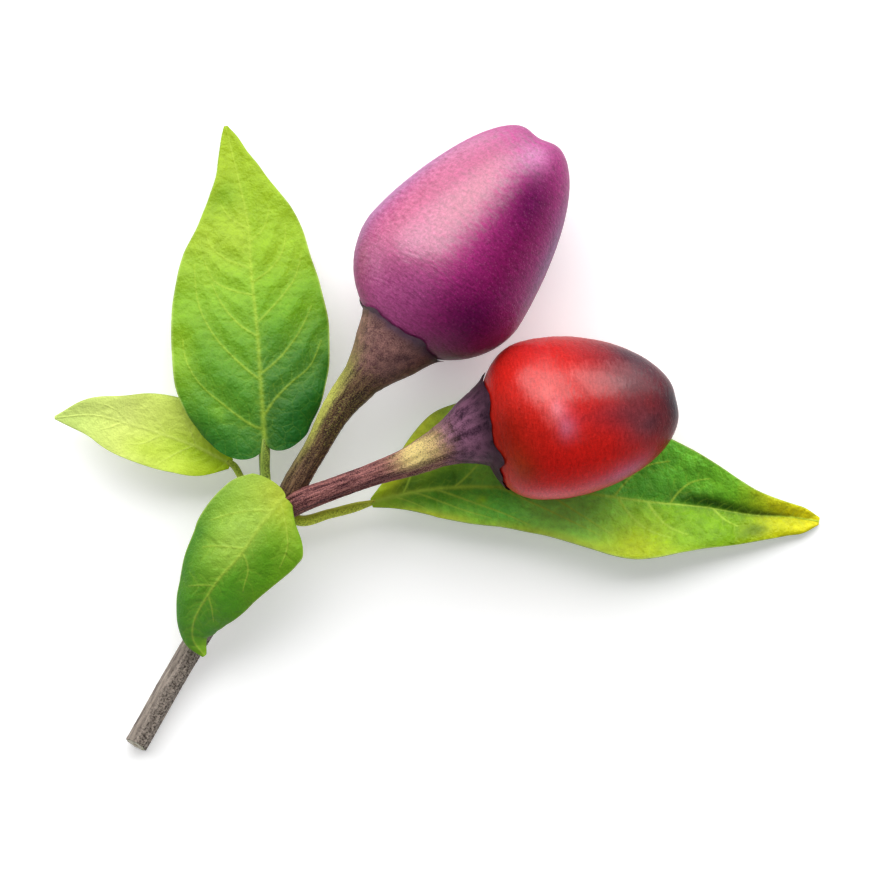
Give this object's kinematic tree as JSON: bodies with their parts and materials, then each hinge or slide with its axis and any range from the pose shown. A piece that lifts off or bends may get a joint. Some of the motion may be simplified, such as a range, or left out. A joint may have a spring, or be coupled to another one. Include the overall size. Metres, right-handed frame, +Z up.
{
  "type": "cut chilli pepper sprig",
  "caption": "Cut sprig of an ornamental chilli pepper lying down: a woody stem forking into fruit stalks with flared calyxes, egg-shaped purple and red fruits, and pointed green leaves.",
  "frame": {"origin": "on the surface that the sprig lies on, under the middle of its bounding box", "axes": "+X runs towards the tip of the long leaf, +Y towards the tip of the tall leaf, +Z up from the surface"},
  "size_m": [0.0929, 0.0762, 0.0221],
  "materials": {
    "bark": "matte",
    "purple_stalk": "satin",
    "red_stalk": "satin",
    "purple_calyx": "satin",
    "red_calyx": "satin",
    "purple_skin": "gloss",
    "red_skin": "gloss",
    "petiole": "satin",
    "tall_blade": "satin",
    "side_blade": "satin",
    "long_blade": "satin",
    "small_blade": "satin"
  },
  "bodies": {
    "root": {"stem": "bark", "purple_pedicel": "purple_stalk", "red_pedicel": "red_stalk", "purple_calyx": "purple_calyx", "red_calyx": "red_calyx", "purple_fruit": "purple_skin", "red_fruit": "red_skin", "tall_petiole": "petiole", "side_petiole": "petiole", "long_petiole": "petiole", "small_petiole": "petiole", "tall_leaf": "tall_blade", "side_leaf": "side_blade", "long_leaf": "long_blade", "small_leaf": "small_blade"}
  },
  "joints": []
}
